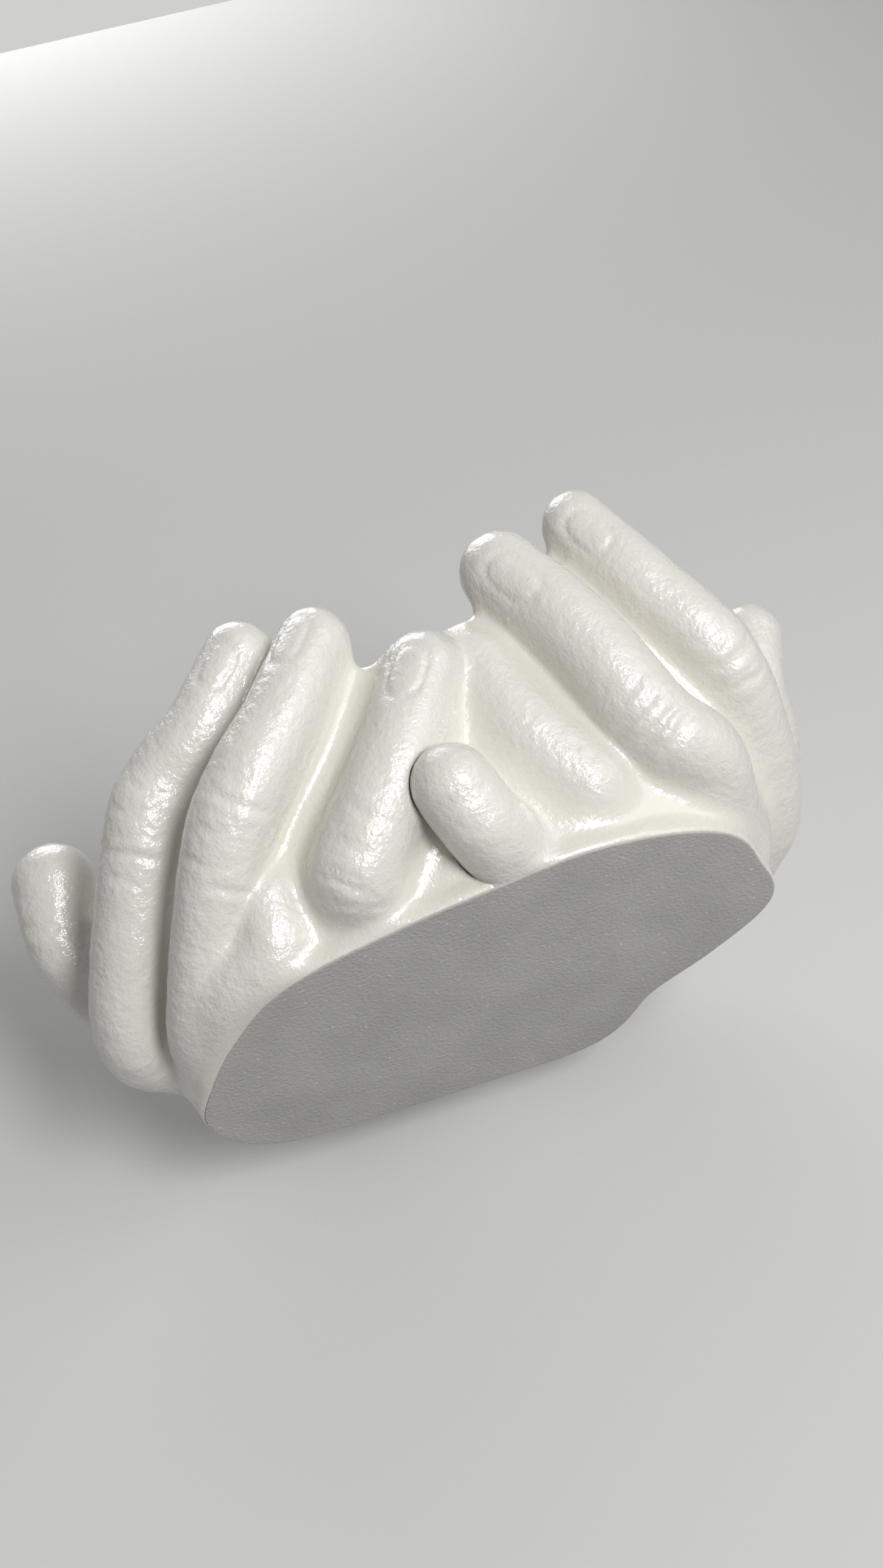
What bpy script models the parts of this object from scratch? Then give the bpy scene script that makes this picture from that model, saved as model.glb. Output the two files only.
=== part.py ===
"""Cupped hands ornament: two cast hands, palms up, side by side, on a flat foot.

The origin is on the underside of the foot, below the middle of the bowl, with +Z up.
The backs of the fingers face -Y, the wrists face +Y and the right hand is at +X.

The hands' skin is the zero level of one field of distances, in which the fingers, the palm pads
and the bowl's wall are blended as wet plaster blends them. The skin is then split at the seam.
"""

from math import pi

import bmesh
import bpy
import numpy as np

MM = 0.001

# Foot: the flat grey slab that the casting stands on
FOOT_LENGTH = 80 * MM
FOOT_DEPTH = 47.5 * MM
FOOT_CENTRE_X = -2.5 * MM
FOOT_CENTRE_Y = -2.5 * MM
FOOT_THICKNESS = 2.9 * MM
FOOT_EDGE_ROUND = 0.4 * MM
SEAT_GAP = 0.3 * MM
GROUND_CLEARANCE = 0.5 * MM

# How far the foot's edge lies from an even oval, at equal angles from the front round by the right
FOOT_FULLNESS = np.array((0.93, 1.06, 1.10, 1.01, 0.99, 0.86, 0.80, 0.98,
                          0.93, 0.97, 1.13, 1.07, 0.94, 0.90, 0.93, 0.90))

# Bowl that the palms and the fingers form: its outer face flares from the foot to the rim
RIM_LENGTH = 99.5 * MM
RIM_DEPTH = 67 * MM
RIM_CENTRE_Y = -3.2 * MM
BOWL_HEIGHT = 40.3 * MM
BOWL_WALL = 2.9 * MM
BOWL_FLOOR = 3.6 * MM
HOLLOW_ROUND = 20.2 * MM

# Finger radii at the first phalanx, and the thumbs' tips
INDEX_RADIUS = 5.0 * MM
MIDDLE_RADIUS = 5.5 * MM
RING_RADIUS = 5.3 * MM
LITTLE_RADIUS = 5.0 * MM
THUMB_RADIUS = 5.2 * MM
LEFT_THUMB_TIP_RADIUS = 5.9 * MM
RIGHT_THUMB_TIP_RADIUS = 5.0 * MM

# Palm lobes and wrists
THUMB_LOBE_RADIUS = 10.1 * MM
OUTER_LOBE_RADIUS = 8.6 * MM
WRIST_RADIUS = 12.2 * MM
KNUCKLE_LOBE_RADIUS = 6.5 * MM

# Reach of the blends: between fingers, of fingers with the wall, of palm pads with the wall, and
# the rounding of the wall's lip
VALLEY_BLEND = 1.5 * MM
WEB_BLEND = 3.0 * MM
FLESH_BLEND = 6.0 * MM
LIP_BLEND = 2.2 * MM

# Seam between the two hands: it leaves the mid-plane behind and is in the finger valley in front
SEAM_GAP = 0.3 * MM
SEAM_FRONT_DEPTH = 23 * MM
SEAM_BACK_DEPTH = 7.2 * MM

# Front line of the seam, under the right little finger and up the right side of the left ring
# finger, as shares (of half the rim's length, of the bowl's height)
SEAM_LINE = ((0.06, -0.18), (0.06, 0.09), (0.03, 0.25), (0, 0.36), (0.01, 0.46), (0.06, 0.57), (0.10, 0.68),
             (0.10, 0.77), (0.06, 0.88), (0.03, 0.98), (0.03, 1.61))

# Rim of the bowl wall in front and behind, low between the fingers, in the same shares
FRONT_RIM = ((-1.74, 0.68), (-1.09, 0.68), (-0.87, 0.71), (-0.64, 0.86), (-0.43, 0.98), (-0.33, 0.98),
             (-0.23, 0.84), (-0.12, 0.77), (0, 0.77), (0.14, 0.82), (0.29, 0.89), (0.45, 1.07), (0.58, 1.04),
             (0.72, 0.84), (0.87, 0.73), (1.09, 0.68), (1.74, 0.68))
BACK_RIM = ((-1.74, 0.68), (-1.09, 0.68), (-0.87, 0.70), (-0.58, 0.68), (-0.29, 0.62), (0, 0.50),
            (0.29, 0.62), (0.58, 0.68), (0.87, 0.70), (1.09, 0.68), (1.74, 0.68))
RIM_CHANGE_Y = -10.8 * MM
RIM_CHANGE_WIDTH = 9 * MM

# Fineness of the cast skin, and how far it runs below the ground before it is cut
SKIN_GRID = 1.08 * MM
SKIN_SMOOTHING = 2
SKIN_SHARE = 0.18
SKIN_BELOW = 3 * MM
WELD = 0.01 * MM

# Passes that find an angle on the bowl, and the least steepness of a measure
ANGLE_PASSES = 3
LEAST_STEEPNESS = 1.0

# Fineness of the foot's outline, of the seam, and of the limbs between joints, at their rounded
# ends in degrees, and round a quarter circle
OVAL_STEPS = 56
SEAM_COLUMNS = 24
SEAM_ROWS = 36
LIMB_STEPS = 5
END_TURNS = (30, 55, 75, 88)
TUBE_SIDES = 4
NEAR_TURN = 2

# The ground cutter reaches this far past what it cuts
CUTTER_REACH = 1.5


def between(before, start, end, after, share):
    """Catmull-Rom value between start and end."""
    return 0.5 * (
        2 * start
        + (end - before) * share
        + (2 * before - 5 * start + 4 * end - after) * share ** 2
        + (3 * start - before - 3 * end + after) * share ** 3
    )


def smooth_run(rows, steps=LIMB_STEPS):
    """Smooth curve through rows of values, with a number of steps from each row to the next."""
    rows = np.asarray(rows, dtype=float)
    padded = np.vstack([2 * rows[0] - rows[1], rows, 2 * rows[-1] - rows[-2]])
    share = np.linspace(0, 1, steps, endpoint=False)[None, :, None]
    near = [padded[first:first + len(rows) - 1, None, :] for first in range(4)]
    return np.vstack([between(*near, share).reshape(-1, rows.shape[1]), rows[-1]])


def ease(share):
    """0 below 0, 1 above 1 and 3t^2 - 2t^3 between them."""
    share = np.clip(share, 0, 1)
    return share * share * (3 - 2 * share)


def bowl_section(around, height):
    """Centre and half axes of the bowl's outer face at an angle in degrees and a height.

    It is the foot's outline at the foot's top, an even oval at the rim and narrower below the foot.
    """
    rise = (height - FOOT_THICKNESS) / (BOWL_HEIGHT - FOOT_THICKNESS)
    flare = np.sin(pi / 2 * np.clip(rise, 0, 1))
    taper = 1 + np.minimum(rise, 0)
    count = len(FOOT_FULLNESS)
    place = np.mod(around, 360) / 360 * count
    first = np.floor(place).astype(int)
    near = [FOOT_FULLNESS[(first + step) % count] for step in (-1, 0, 1, 2)]
    fullness = between(*near, place - first)
    half_x = taper * ((1 - flare) * fullness * FOOT_LENGTH + flare * RIM_LENGTH) / 2
    half_y = taper * ((1 - flare) * fullness * FOOT_DEPTH + flare * RIM_DEPTH) / 2
    return (1 - flare) * FOOT_CENTRE_X, (1 - flare) * FOOT_CENTRE_Y + flare * RIM_CENTRE_Y, half_x, half_y


def on_bowl(around, height, stand_off):
    """Point at an angle from the front, a height, and a distance straight out from the bowl."""
    turn = around + np.array([-NEAR_TURN, 0, NEAR_TURN])
    centre_x, centre_y, half_x, half_y = bowl_section(turn, height)
    x = centre_x + half_x * np.sin(np.radians(turn))
    y = centre_y - half_y * np.cos(np.radians(turn))
    run = np.array([x[2] - x[0], y[2] - y[0]])
    outward = np.array([run[1], -run[0]]) / np.hypot(*run)
    return np.array([x[1] + outward[0] * stand_off, y[1] + outward[1] * stand_off, height])


def limb(radius, places, swells, tip=None):
    """Line of a finger or lobe from its root to its tip, in columns x, y, z and radius.

    A place is an angle round the bowl, a share of the bowl's height and a stand-off in mm.
    """
    joints = [on_bowl(around, rise * BOWL_HEIGHT, off * MM) for around, rise, off in places]
    radii = [radius * swell for swell in swells]
    if tip is not None:
        radii[-1] = tip
    return smooth_run(np.column_stack([joints, radii]))


DIGITS = {
    "left_index": limb(INDEX_RADIUS,
                       ((-116, 0.32, -1.8), (-89, 0.27, 4.7), (-51.5, 0.70, 0.7), (-34.5, 0.83, 0.4), (-24.5, 1, 0.7)),
                       (1.15, 1.02, 1.04, 0.96, 0.88)),
    "left_middle": limb(MIDDLE_RADIUS,
                        ((-98, 0.18, -5), (-61.5, 0.14, 2.0), (-36, 0.43, 4.1), (-21.5, 0.67, 2.8), (-13.3, 0.88, 1.8)),
                        (0.92, 0.82, 0.99, 0.93, 0.86)),
    "left_ring": limb(RING_RADIUS,
                      ((-18, 0.29, -5.8), (-21, 0.20, 0.7), (-9, 0.40, 1.4), (0.5, 0.68, 0.4)),
                      (1.0, 1.18, 1.05, 0.95)),
    "left_little": limb(LITTLE_RADIUS,
                        ((-35, 0.14, -14.4), (-14, 0.25, -6.5), (-8, 0.48, -4.7), (-5, 0.66, -4.7)),
                        (0.9, 0.95, 0.9, 0.85)),
    "left_thumb": limb(THUMB_RADIUS,
                       ((-106, 0.57, 0.7), (-99, 0.64, 3.0), (-91.5, 0.72, 5.0), (-86, 0.90, 3.2)),
                       (1.35, 1.15, 0.93, 1.0), LEFT_THUMB_TIP_RADIUS),
    "right_index": limb(INDEX_RADIUS,
                        ((107.5, 0.32, 1.4), (87, 0.38, -0.6), (52, 0.56, 3.2), (40, 0.82, 2.9), (32, 1.13, 3.6)),
                        (1.15, 1.15, 1.08, 1.05, 0.93)),
    "right_middle": limb(MIDDLE_RADIUS,
                         ((73, 0.21, -6.5), (44, 0.23, 1.1), (33, 0.32, 3.2), (23.5, 0.62, 4.0), (16, 0.93, 2.9)),
                         (1.1, 1.02, 1.02, 0.98, 0.99)),
    "right_ring": limb(RING_RADIUS,
                       ((22.3, 0.24, -1.4), (13.8, 0.44, -1.0), (8.7, 0.69, -1.9)),
                       (0.95, 0.92, 0.88)),
    "right_thumb": limb(THUMB_RADIUS,
                        ((112, 0.52, 0.4), (97, 0.64, 1.1), (81, 0.77, 0.6), (78.7, 0.94, 3.3)),
                        (1.35, 1.2, 0.95, 1.0), RIGHT_THUMB_TIP_RADIUS),
}

# The right little finger crosses over the left hand's ring finger, in front of the seam
CROSSING_FINGER = limb(LITTLE_RADIUS,
                       ((13, 0, -5), (7, 0.085, 0.0), (3, 0.155, 3.8), (-0.4, 0.25, 5.8)),
                       (1.1, 1.1, 1.06, 1.02))

# The mound below the left ring finger's knuckle
LEFT_KNUCKLE = limb(KNUCKLE_LOBE_RADIUS,
                    ((-84, 0.09, -2.4), (-57, 0.08, -0.9), (-43, 0.14, -3.1)),
                    (0.8, 0.86, 0.75))


def lobes(side):
    """Palm pads and wrist of one hand, as thick limbs. side is -1 left, +1 right."""
    return [
        limb(THUMB_LOBE_RADIUS,
             ((side * 107, 0.57, -5), (side * 127, 0.54, -6.5), (side * 147, 0.52, -7.2)),
             (0.8, 1.0, 1.05)),
        limb(OUTER_LOBE_RADIUS,
             ((side * 172, 0.29, -17.3), (side * 168, 0.43, -10.1), (side * 164, 0.50, -6.1)),
             (0.9, 1.05, 1.15)),
        limb(WRIST_RADIUS, ((side * 145, 0.48, -10.1), (side * 155, 0.45, -3.6)), (1.0, 1.0)),
    ]


def clear_scene():
    """Remove every object, so that the file holds the ornament alone."""
    for item in list(bpy.data.objects):
        bpy.data.objects.remove(item, do_unlink=True)


def collection(name):
    """A new collection in the scene."""
    made = bpy.data.collections.new(name)
    bpy.context.scene.collection.children.link(made)
    return made


def material(name, colour, roughness):
    """A plain, non-metallic finish."""
    made = bpy.data.materials.new(name)
    made.use_nodes = True
    shader = made.node_tree.nodes["Principled BSDF"]
    shader.inputs["Base Color"].default_value = (*colour, 1.0)
    shader.inputs["Roughness"].default_value = roughness
    shader.inputs["Metallic"].default_value = 0.0
    return made


def link(name, data, group):
    """A new object that shows a mesh or a curve."""
    made = bpy.data.objects.new(name, data)
    group.objects.link(made)
    return made


def as_cutter(item):
    """Mark an object as one that only cuts."""
    item.hide_render = True
    item.display_type = "WIRE"
    return item


def mesh_from(work, name):
    """A mesh from a finished bmesh, which is freed."""
    mesh = bpy.data.meshes.new(name)
    work.to_mesh(mesh)
    work.free()
    return mesh


def mesh_of(item, weld=WELD):
    """The evaluated mesh of an object, with its loose caps welded. The object is removed."""
    bpy.context.view_layer.update()
    evaluated = item.evaluated_get(bpy.context.evaluated_depsgraph_get())
    mesh = bpy.data.meshes.new_from_object(evaluated)
    work = bmesh.new()
    work.from_mesh(mesh)
    work.transform(item.matrix_world)
    bmesh.ops.remove_doubles(work, verts=work.verts, dist=weld)
    work.to_mesh(mesh)
    work.free()
    bpy.data.objects.remove(item, do_unlink=True)
    return mesh


def cut(item, cutter, operation="DIFFERENCE"):
    """Cut, join or keep what an object shares with another."""
    step = item.modifiers.new(cutter.name, "BOOLEAN")
    step.operation = operation
    step.solver = "EXACT"
    step.object = cutter


def rounded_end(place, run, width):
    """Rows of x, y, z and width that close a limb with a ball of its own radius."""
    outward = run / np.linalg.norm(run)
    turns = np.radians(END_TURNS)
    return np.column_stack([place + np.outer(np.sin(turns), outward) * width, np.cos(turns) * width])


def tube(name, line, group, grow=0.0):
    """A round limb: a bevelled curve with a radius at each point and rounded ends."""
    places = line[:, :3]
    widths = line[:, 3] + grow
    root = rounded_end(places[0], places[0] - places[1], widths[0])
    tip = rounded_end(places[-1], places[-1] - places[-2], widths[-1])
    rows = np.vstack([root[::-1], np.column_stack([places, widths]), tip])
    curve = bpy.data.curves.new(name, "CURVE")
    curve.dimensions = "3D"
    curve.bevel_depth = 1.0
    curve.bevel_resolution = TUBE_SIDES
    curve.use_fill_caps = True
    spline = curve.splines.new("POLY")
    spline.points.add(len(rows) - 1)
    for point, (x, y, z, width) in zip(spline.points, rows):
        point.co = (x, y, z, 1.0)
        point.radius = width
    return mesh_of(link(name, curve, group))


def blend(one, other, reach):
    """Smooth lesser of two distances, rounded where they differ by less than a reach."""
    near = np.clip(1 - np.abs(one - other) / reach, 0, 1)
    return np.minimum(one, other) - near ** 2 * reach / 4


def blend_off(one, other, reach):
    """Smooth greater of two distances, the mirror of blend."""
    return -blend(-one, -other, reach)


def as_distance(measure):
    """A measure on the skin's grid made into a length: its value over its steepness."""
    steepness = np.sqrt(sum(slope ** 2 for slope in np.gradient(measure, SKIN_GRID)))
    return measure / np.maximum(steepness, LEAST_STEEPNESS)


def bowl_share(x, y, z, grow):
    """How far out points lie in the bowl's section at their height: 1 on its face, grown by a length."""
    around = np.zeros_like(x)
    for _ in range(ANGLE_PASSES):
        centre_x, centre_y, half_x, half_y = bowl_section(around, z)
        across = (x - centre_x) / (half_x + grow)
        back = (y - centre_y) / (half_y + grow)
        around = np.degrees(np.arctan2(across, -back))
    return np.hypot(across, back)


def rim_height(x, y):
    """Height of the rim over a point: the front line eased into the back line across the middle."""
    front = smooth_run(FRONT_RIM)
    back = smooth_run(BACK_RIM)
    share = x / (RIM_LENGTH / 2)
    rise_front = np.interp(share, front[:, 0], front[:, 1])
    rise_back = np.interp(share, back[:, 0], back[:, 1])
    change = ease((y - RIM_CHANGE_Y) / RIM_CHANGE_WIDTH + 0.5)
    return BOWL_HEIGHT * (rise_front + (rise_back - rise_front) * change)


def wall_distance(x, y, z):
    """Distance to the bowl's wall: inside its outer face, outside its hollow and below its rim.

    The hollow's floor is round: below the height where it ends, the share across the hollow and
    the share of the way down are taken together.
    """
    outer = as_distance(bowl_share(x, y, z, 0.0) - 1)
    down = np.maximum(FOOT_THICKNESS + BOWL_FLOOR + HOLLOW_ROUND - z, 0) / HOLLOW_ROUND
    hollow = as_distance(1 - np.hypot(bowl_share(x, y, z, -BOWL_WALL), down))
    rim = as_distance(z - rim_height(x, y))
    return blend_off(blend_off(outer, hollow, LIP_BLEND), rim, LIP_BLEND)


def limb_distance(points, line):
    """Distance to a limb's surface, the least over its stretches, each with its own taper."""
    value = np.full(len(points), np.inf)
    for start, end in zip(line, line[1:]):
        stretch = end[:3] - start[:3]
        share = np.clip((points - start[:3]) @ stretch / (stretch @ stretch), 0, 1)
        away = points - start[:3] - share[:, None] * stretch
        value = np.minimum(value, np.linalg.norm(away, axis=1) - start[3] - share * (end[3] - start[3]))
    return value


def with_limbs(value, points, lines, reach):
    """A field with limbs blended into it, each worked out in the box that its blend reaches."""
    value = value.copy()
    for line in lines:
        grow = line[:, 3:] + FLESH_BLEND + SKIN_GRID
        low = (line[:, :3] - grow).min(axis=0)
        high = (line[:, :3] + grow).max(axis=0)
        near = np.all((points > low) & (points < high), axis=-1)
        value[near] = blend(value[near], limb_distance(points[near], line), reach)
    return value


def skin_field():
    """Low corner of the skin's grid and the field of both hands together on it."""
    pads = [LEFT_KNUCKLE, *lobes(-1), *lobes(1)]
    lines = np.vstack([*DIGITS.values(), *pads])
    wall_low = (-RIM_LENGTH / 2, RIM_CENTRE_Y - RIM_DEPTH / 2, -SKIN_BELOW)
    wall_high = (RIM_LENGTH / 2, RIM_CENTRE_Y + RIM_DEPTH / 2, BOWL_HEIGHT)
    low = np.minimum((lines[:, :3] - lines[:, 3:]).min(axis=0), wall_low) - 3 * SKIN_GRID
    high = np.maximum((lines[:, :3] + lines[:, 3:]).max(axis=0), wall_high) + 3 * SKIN_GRID
    axes = [np.arange(low[axis], high[axis], SKIN_GRID) for axis in range(3)]
    points = np.stack(np.meshgrid(*axes, indexing="ij"), axis=-1)
    x, y, z = np.moveaxis(points, -1, 0)
    far = np.full(x.shape, RIM_LENGTH)
    flesh = blend(wall_distance(x, y, z), with_limbs(far, points, pads, FLESH_BLEND), FLESH_BLEND)
    digits = with_limbs(far, points, DIGITS.values(), VALLEY_BLEND)
    return low, np.maximum(blend(flesh, digits, WEB_BLEND), -SKIN_BELOW - z)


def cell_points(values):
    """A point for each grid cell that the zero level crosses: the mean of the crossings on the
    cell's edges, in grid steps. Also which cells those are."""
    size = np.array(values.shape) - 1
    total = np.zeros((*size, 3))
    count = np.zeros(size)
    for corner in np.ndindex(2, 2, 2):
        for axis in range(3):
            if corner[axis]:
                continue
            last = tuple(at + (a == axis) for a, at in enumerate(corner))
            start, end = (values[tuple(slice(at, at + n) for at, n in zip(place, size))] for place in (corner, last))
            crossed = (start < 0) != (end < 0)
            share = np.where(crossed, start / np.where(crossed, start - end, 1), 0)
            total += crossed[..., None] * np.array(corner)
            total[..., axis] += share
            count += crossed
    cells = count > 0
    return np.argwhere(cells) + total[cells] / count[cells][:, None], cells


def crossing_quads(inside, index):
    """Quads of a level surface: one about each grid line that changes sides, through the four cells
    round that line, wound to face out."""
    quads = []
    for axis in range(3):
        first, second = [other for other in range(3) if other != axis]
        flags = np.moveaxis(inside, (axis, first, second), (0, 1, 2))
        cells = np.moveaxis(index, (axis, first, second), (0, 1, 2))
        start = flags[:-1, 1:-1, 1:-1]
        end = flags[1:, 1:-1, 1:-1]
        around = np.stack([cells[:, :-1, :-1], cells[:, 1:, :-1], cells[:, 1:, 1:], cells[:, :-1, 1:]], axis=-1)
        outward = start if axis != 1 else end
        inward = end if axis != 1 else start
        quads.append(around[outward & ~inward])
        quads.append(around[inward & ~outward][:, ::-1])
    return np.vstack(quads)


def cast_body(cutters):
    """Both hands as one skin, which the seam then divides."""
    low, values = skin_field()
    points, cells = cell_points(values)
    index = np.full(cells.shape, -1)
    index[cells] = np.arange(len(points))
    mesh = bpy.data.meshes.new("cast_body")
    mesh.from_pydata((low + points * SKIN_GRID).tolist(), [], crossing_quads(values < 0, index).tolist())
    body = link("cast_body", mesh, cutters)
    skin = body.modifiers.new("skin", "REMESH")
    skin.mode = "VOXEL"
    skin.voxel_size = SKIN_GRID
    skin.use_smooth_shade = True
    even = body.modifiers.new("even", "SMOOTH")
    even.factor = 0.5
    even.iterations = SKIN_SMOOTHING
    thin = body.modifiers.new("thin", "DECIMATE")
    thin.ratio = SKIN_SHARE
    return mesh_of(body, weld=0.0)


def seam_x(y, z):
    """Where the seam lies at a depth and a height: its front line, eased to x = 0 behind."""
    line = smooth_run(SEAM_LINE)
    front = np.interp(z / BOWL_HEIGHT, line[:, 1], line[:, 0]) * RIM_LENGTH / 2
    return ease((-y - SEAM_BACK_DEPTH) / (SEAM_FRONT_DEPTH - SEAM_BACK_DEPTH)) * front


def seam_side(name, gap, group):
    """Everything on the right hand's side of the seam, stepped back from it by a gap."""
    low = SEAM_LINE[0][1] * BOWL_HEIGHT
    high = SEAM_LINE[-1][1] * BOWL_HEIGHT
    probe = SKIN_GRID
    work = bmesh.new()
    bmesh.ops.create_grid(work, x_segments=SEAM_COLUMNS, y_segments=SEAM_ROWS, size=1.0)
    for vert in work.verts:
        y = vert.co.x * RIM_DEPTH
        z = low + (high - low) * (vert.co.y + 1) / 2
        along = (seam_x(y + probe, z) - seam_x(y - probe, z)) / (2 * probe)
        up = (seam_x(y, z + probe) - seam_x(y, z - probe)) / (2 * probe)
        vert.co = (seam_x(y, z) + gap * (1 + along ** 2 + up ** 2) ** 0.5, y, z)
    pushed = bmesh.ops.extrude_face_region(work, geom=list(work.faces))["geom"]
    for item in pushed:
        if isinstance(item, bmesh.types.BMVert):
            item.co.x = RIM_LENGTH
    bmesh.ops.triangulate(work, faces=work.faces)
    bmesh.ops.recalc_face_normals(work, faces=work.faces)
    return as_cutter(link(name, mesh_from(work, name), group))


def foot_outline(grow):
    """Points round the foot's outline, grown by a length."""
    return [on_bowl(360 * step / OVAL_STEPS, FOOT_THICKNESS, grow)[:2] for step in range(OVAL_STEPS)]


def foot_solid(name, group):
    """The foot: its outline, extruded up from the ground and rounded along its edges."""
    curve = bpy.data.curves.new(name, "CURVE")
    curve.dimensions = "2D"
    curve.fill_mode = "BOTH"
    curve.extrude = FOOT_THICKNESS / 2 - FOOT_EDGE_ROUND
    curve.bevel_depth = FOOT_EDGE_ROUND
    curve.bevel_resolution = 1
    curve.offset = -FOOT_EDGE_ROUND
    outline = curve.splines.new("POLY")
    outline.points.add(OVAL_STEPS - 1)
    for point, (x, y) in zip(outline.points, foot_outline(0.0)):
        point.co = (x, y, 0.0, 1.0)
    outline.use_cyclic_u = True
    made = link(name, curve, group)
    made.location = (0.0, 0.0, FOOT_THICKNESS / 2)
    return link(name, mesh_of(made), group)


def foot_seat(name, group):
    """Room in the hands for the foot, grown all round by the seat's gap, with one flat face on top."""
    top = FOOT_THICKNESS + SEAT_GAP
    work = bmesh.new()
    rings = [[work.verts.new((x, y, height)) for x, y in foot_outline(SEAT_GAP)] for height in (-top, top)]
    for step in range(OVAL_STEPS):
        after = (step + 1) % OVAL_STEPS
        work.faces.new((rings[0][step], rings[0][after], rings[1][after], rings[1][step]))
    work.faces.new(reversed(rings[0]))
    work.faces.new(rings[1])
    bmesh.ops.recalc_face_normals(work, faces=work.faces)
    return as_cutter(link(name, mesh_from(work, name), group))


def block_below(name, height, group):
    """Everything below a height, as a wide block."""
    thickness = BOWL_HEIGHT
    width = RIM_LENGTH * 2 * CUTTER_REACH
    work = bmesh.new()
    bmesh.ops.create_cube(work, size=1.0)
    bmesh.ops.scale(work, vec=(width, width, thickness), verts=work.verts)
    bmesh.ops.translate(work, vec=(0.0, 0.0, height - thickness / 2), verts=work.verts)
    return as_cutter(link(name, mesh_from(work, name), group))


def main():
    clear_scene()
    parts = collection("cupped_hands")
    cutters = collection("cutters")
    enamel = material("white_gloss_enamel", (0.78, 0.76, 0.72), 0.18)
    bare = material("bare_grey_cast", (0.28, 0.28, 0.28), 0.85)
    foot = foot_solid("base_fill", parts)
    foot.data.materials.append(bare)
    body = cast_body(cutters)
    seat = foot_seat("foot_seat", cutters)
    ground = block_below("ground", GROUND_CLEARANCE, cutters)
    crossing = as_cutter(link("crossing_finger", tube("crossing", CROSSING_FINGER, cutters), cutters))
    room = as_cutter(link("crossing_room", tube("room", CROSSING_FINGER, cutters, SEAM_GAP), cutters))

    left = link("left_hand", body.copy(), parts)
    cut(left, seam_side("seam_left", 0.0, cutters))
    cut(left, room)
    right = link("right_hand", body.copy(), parts)
    cut(right, seam_side("seam_right", SEAM_GAP, cutters), "INTERSECT")
    cut(right, crossing, "UNION")
    for hand in (left, right):
        cut(hand, seat)
        cut(hand, ground)
        hand.data.materials.append(enamel)
        hand.data.shade_smooth()


if __name__ == "__main__":
    main()
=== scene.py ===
"""Cupped hands dish: two cast hands under white gloss enamel, on a flat bare underside.

The hands are one blended field, worked out from the fingers' joints and the bowl's sections. Each
hand is the level surface of that field on its side of the seam, with its nails, knuckle creases and
plaster texture worked into the surface.
"""

from math import cos, pi, radians, sin

import bpy
import numpy as np
from mathutils import Matrix, Vector


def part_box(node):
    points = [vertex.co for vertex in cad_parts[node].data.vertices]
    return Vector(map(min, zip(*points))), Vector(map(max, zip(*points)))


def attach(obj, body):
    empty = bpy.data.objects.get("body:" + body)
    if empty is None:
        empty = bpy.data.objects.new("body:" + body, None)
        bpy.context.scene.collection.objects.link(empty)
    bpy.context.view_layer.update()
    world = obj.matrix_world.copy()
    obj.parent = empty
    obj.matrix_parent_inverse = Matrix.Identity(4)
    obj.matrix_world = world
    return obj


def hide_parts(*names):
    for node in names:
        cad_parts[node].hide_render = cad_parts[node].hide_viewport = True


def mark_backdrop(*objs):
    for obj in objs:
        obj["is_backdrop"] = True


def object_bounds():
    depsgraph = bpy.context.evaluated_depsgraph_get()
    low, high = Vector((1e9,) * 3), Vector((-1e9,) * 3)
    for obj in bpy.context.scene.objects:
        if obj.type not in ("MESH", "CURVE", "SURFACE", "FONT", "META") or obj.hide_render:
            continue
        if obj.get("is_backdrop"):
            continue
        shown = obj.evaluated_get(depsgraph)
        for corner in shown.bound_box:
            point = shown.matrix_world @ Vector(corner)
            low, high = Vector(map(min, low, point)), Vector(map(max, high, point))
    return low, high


bl_info = {
    "name": "Cupped hands dish",
    "version": (1, 0, 0),
    "blender": (4, 5, 0),
    "location": "3D View > Sidebar > Cupped hands",
    "description": "Builds a cast dish of two cupped hands, its bare underside and a plain stage",
    "category": "Object",
}

MM = 0.001

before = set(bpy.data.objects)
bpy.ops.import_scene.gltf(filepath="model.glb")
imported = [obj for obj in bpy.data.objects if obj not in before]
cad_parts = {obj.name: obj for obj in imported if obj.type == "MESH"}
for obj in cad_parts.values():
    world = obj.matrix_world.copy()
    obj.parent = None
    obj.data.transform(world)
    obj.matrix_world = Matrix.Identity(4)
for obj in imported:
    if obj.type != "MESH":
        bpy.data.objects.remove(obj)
CAD_LOW, CAD_HIGH = (np.array(corner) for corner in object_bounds())
FOOT_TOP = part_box("base_fill")[1][2]

# Foot: the centre of its outline, how far that lies from an even oval at equal angles from the front
# round by the right, and the room round it and over it. Then the centre of the rim's oval.
FOOT_CENTRE = np.array((-2.5, -2.5)) * MM
FOOT_FULLNESS = np.array((0.93, 1.06, 1.10, 1.01, 0.99, 0.86, 0.80, 0.98,
                          0.93, 0.97, 1.13, 1.07, 0.94, 0.90, 0.93, 0.90))
FOOT_CLEARANCE = 0.02 * MM
RIM_CENTRE = (0.0, -3.2 * MM)

# Rim of the bowl wall in front and behind, as shares of (half the rim's length, the bowl's height),
# and the y values between which one eases into the other
FRONT_RIM = ((-1.74, 0.68), (-1.09, 0.68), (-0.87, 0.71), (-0.64, 0.86), (-0.43, 0.98), (-0.33, 0.98),
             (-0.23, 0.84), (-0.12, 0.77), (0, 0.77), (0.14, 0.82), (0.29, 0.89), (0.45, 1.07),
             (0.58, 1.04), (0.72, 0.84), (0.87, 0.73), (1.09, 0.68), (1.74, 0.68))
BACK_RIM = ((-1.74, 0.68), (-1.09, 0.68), (-0.87, 0.70), (-0.58, 0.68), (-0.29, 0.62), (0, 0.50),
            (0.29, 0.62), (0.58, 0.68), (0.87, 0.70), (1.09, 0.68), (1.74, 0.68))
RIM_CHANGE = (-15.3 * MM, -6.3 * MM)

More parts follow.
